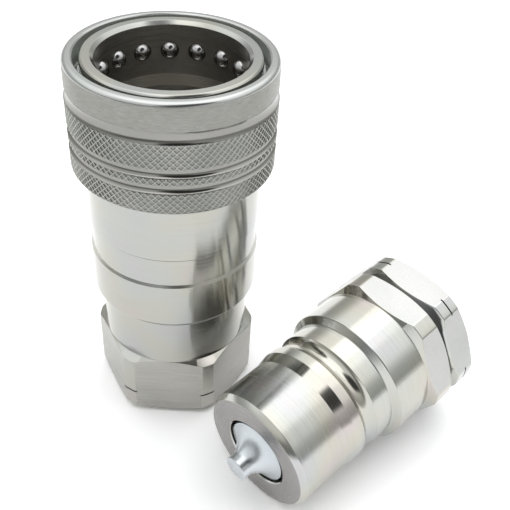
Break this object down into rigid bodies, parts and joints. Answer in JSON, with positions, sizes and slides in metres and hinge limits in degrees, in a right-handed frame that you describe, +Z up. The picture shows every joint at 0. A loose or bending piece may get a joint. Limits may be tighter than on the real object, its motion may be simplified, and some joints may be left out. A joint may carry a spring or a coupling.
{
  "type": "liquid cooling quick coupling",
  "caption": "Ball-locking quick coupling for a coolant line: a socket with a knurled release sleeve, and its plug lying beside it, each with a sprung poppet valve and a hexagon end.",
  "frame": {"origin": "on the socket's axis, in the face of its threaded end, which is also the floor", "axes": "+Z up the socket to its mouth; +X is the direction in which the lying plug points from its nose to its threaded end, seen from above"},
  "size_m": [0.0771, 0.0984, 0.1042],
  "materials": {
    "zinc_plate": "bright clear zinc plating on turned steel",
    "sleeve_plate": "satin zinc plating, turned collar and knurled bands",
    "valve_plate": "satin bluish zinc plating",
    "ball_steel": "polished",
    "spring_steel": "plain drawn wire",
    "seal_rubber": "smooth black",
    "backup_plastic": "smooth off-white"
  },
  "bodies": {
    "coupling_halves": {"socket_body": "zinc_plate", "socket_adapter": "zinc_plate", "socket_joint_seal": "seal_rubber", "sleeve_retaining_ring": "spring_steel", "bore_seal": "seal_rubber", "bore_backup_ring": "backup_plastic", "socket_valve_guide": "valve_plate", "socket_valve_spring": "spring_steel", "plug_body": "zinc_plate", "plug_adapter": "zinc_plate", "plug_joint_seal": "seal_rubber", "plug_valve_guide": "valve_plate", "plug_valve_spring": "spring_steel"},
    "sleeve_seat": {"sleeve_spring": "spring_steel"},
    "sleeve": {"release_sleeve": "sleeve_plate"},
    "ball_01": {"locking_ball_01": "ball_steel"},
    "ball_02": {"locking_ball_02": "ball_steel"},
    "ball_03": {"locking_ball_03": "ball_steel"},
    "ball_04": {"locking_ball_04": "ball_steel"},
    "ball_05": {"locking_ball_05": "ball_steel"},
    "ball_06": {"locking_ball_06": "ball_steel"},
    "ball_07": {"locking_ball_07": "ball_steel"},
    "ball_08": {"locking_ball_08": "ball_steel"},
    "ball_09": {"locking_ball_09": "ball_steel"},
    "ball_10": {"locking_ball_10": "ball_steel"},
    "ball_11": {"locking_ball_11": "ball_steel"},
    "ball_12": {"locking_ball_12": "ball_steel"},
    "ball_13": {"locking_ball_13": "ball_steel"},
    "ball_14": {"locking_ball_14": "ball_steel"},
    "ball_15": {"locking_ball_15": "ball_steel"},
    "ball_16": {"locking_ball_16": "ball_steel"},
    "socket_poppet": {"socket_valve": "valve_plate", "socket_valve_seal": "seal_rubber"},
    "plug_poppet": {"plug_valve": "valve_plate", "plug_valve_seal": "seal_rubber"}
  },
  "joints": [
    {"name": "sleeve_slide", "type": "slide", "parent": "coupling_halves", "child": "sleeve_seat", "axis": [0, 0, -1], "range_m": [0, 0.006], "stiffness_N_per_m": 3000, "springref_m": -0.01, "deforming": ["sleeve_spring"]},
    {"name": "sleeve_spin", "type": "hinge", "parent": "sleeve_seat", "child": "sleeve", "pos_m": [0, 0, 0.09], "axis": [0, 0, 1], "continuous": true},
    {"name": "ball_01_lift", "type": "slide", "parent": "coupling_halves", "child": "ball_01", "axis": [0.99, 0.1409, 0], "range_m": [0, 0.0015]},
    {"name": "ball_02_lift", "type": "slide", "parent": "coupling_halves", "child": "ball_02", "axis": [0.8607, 0.509, 0], "range_m": [0, 0.0015]},
    {"name": "ball_03_lift", "type": "slide", "parent": "coupling_halves", "child": "ball_03", "axis": [0.6004, 0.7997, 0], "range_m": [0, 0.0015]},
    {"name": "ball_04_lift", "type": "slide", "parent": "coupling_halves", "child": "ball_04", "axis": [0.2487, 0.9686, 0], "range_m": [0, 0.0015]},
    {"name": "ball_05_lift", "type": "slide", "parent": "coupling_halves", "child": "ball_05", "axis": [-0.1409, 0.99, 0], "range_m": [0, 0.0015]},
    {"name": "ball_06_lift", "type": "slide", "parent": "coupling_halves", "child": "ball_06", "axis": [-0.509, 0.8607, 0], "range_m": [0, 0.0015]},
    {"name": "ball_07_lift", "type": "slide", "parent": "coupling_halves", "child": "ball_07", "axis": [-0.7997, 0.6004, 0], "range_m": [0, 0.0015]},
    {"name": "ball_08_lift", "type": "slide", "parent": "coupling_halves", "child": "ball_08", "axis": [-0.9686, 0.2487, 0], "range_m": [0, 0.0015]},
    {"name": "ball_09_lift", "type": "slide", "parent": "coupling_halves", "child": "ball_09", "axis": [-0.99, -0.1409, 0], "range_m": [0, 0.0015]},
    {"name": "ball_10_lift", "type": "slide", "parent": "coupling_halves", "child": "ball_10", "axis": [-0.8607, -0.509, 0], "range_m": [0, 0.0015]},
    {"name": "ball_11_lift", "type": "slide", "parent": "coupling_halves", "child": "ball_11", "axis": [-0.6004, -0.7997, 0], "range_m": [0, 0.0015]},
    {"name": "ball_12_lift", "type": "slide", "parent": "coupling_halves", "child": "ball_12", "axis": [-0.2487, -0.9686, 0], "range_m": [0, 0.0015]},
    {"name": "ball_13_lift", "type": "slide", "parent": "coupling_halves", "child": "ball_13", "axis": [0.1409, -0.99, 0], "range_m": [0, 0.0015]},
    {"name": "ball_14_lift", "type": "slide", "parent": "coupling_halves", "child": "ball_14", "axis": [0.509, -0.8607, 0], "range_m": [0, 0.0015]},
    {"name": "ball_15_lift", "type": "slide", "parent": "coupling_halves", "child": "ball_15", "axis": [0.7997, -0.6004, 0], "range_m": [0, 0.0015]},
    {"name": "ball_16_lift", "type": "slide", "parent": "coupling_halves", "child": "ball_16", "axis": [0.9686, -0.2487, 0], "range_m": [0, 0.0015]},
    {"name": "socket_valve_slide", "type": "slide", "parent": "coupling_halves", "child": "socket_poppet", "axis": [0, 0, -1], "range_m": [0, 0.007], "stiffness_N_per_m": 2000, "springref_m": -0.012, "deforming": ["socket_valve_spring"]},
    {"name": "plug_valve_slide", "type": "slide", "parent": "coupling_halves", "child": "plug_poppet", "axis": [0.9962, 0, 0.0865], "range_m": [0, 0.007], "stiffness_N_per_m": 2000, "springref_m": -0.012, "deforming": ["plug_valve_spring"]}
  ],
  "couplings": [
    {"joint": "ball_01_lift", "follows": "sleeve_slide", "ratio": 0.25},
    {"joint": "ball_02_lift", "follows": "sleeve_slide", "ratio": 0.25},
    {"joint": "ball_03_lift", "follows": "sleeve_slide", "ratio": 0.25},
    {"joint": "ball_04_lift", "follows": "sleeve_slide", "ratio": 0.25},
    {"joint": "ball_05_lift", "follows": "sleeve_slide", "ratio": 0.25},
    {"joint": "ball_06_lift", "follows": "sleeve_slide", "ratio": 0.25},
    {"joint": "ball_07_lift", "follows": "sleeve_slide", "ratio": 0.25},
    {"joint": "ball_08_lift", "follows": "sleeve_slide", "ratio": 0.25},
    {"joint": "ball_09_lift", "follows": "sleeve_slide", "ratio": 0.25},
    {"joint": "ball_10_lift", "follows": "sleeve_slide", "ratio": 0.25},
    {"joint": "ball_11_lift", "follows": "sleeve_slide", "ratio": 0.25},
    {"joint": "ball_12_lift", "follows": "sleeve_slide", "ratio": 0.25},
    {"joint": "ball_13_lift", "follows": "sleeve_slide", "ratio": 0.25},
    {"joint": "ball_14_lift", "follows": "sleeve_slide", "ratio": 0.25},
    {"joint": "ball_15_lift", "follows": "sleeve_slide", "ratio": 0.25},
    {"joint": "ball_16_lift", "follows": "sleeve_slide", "ratio": 0.25}
  ]
}
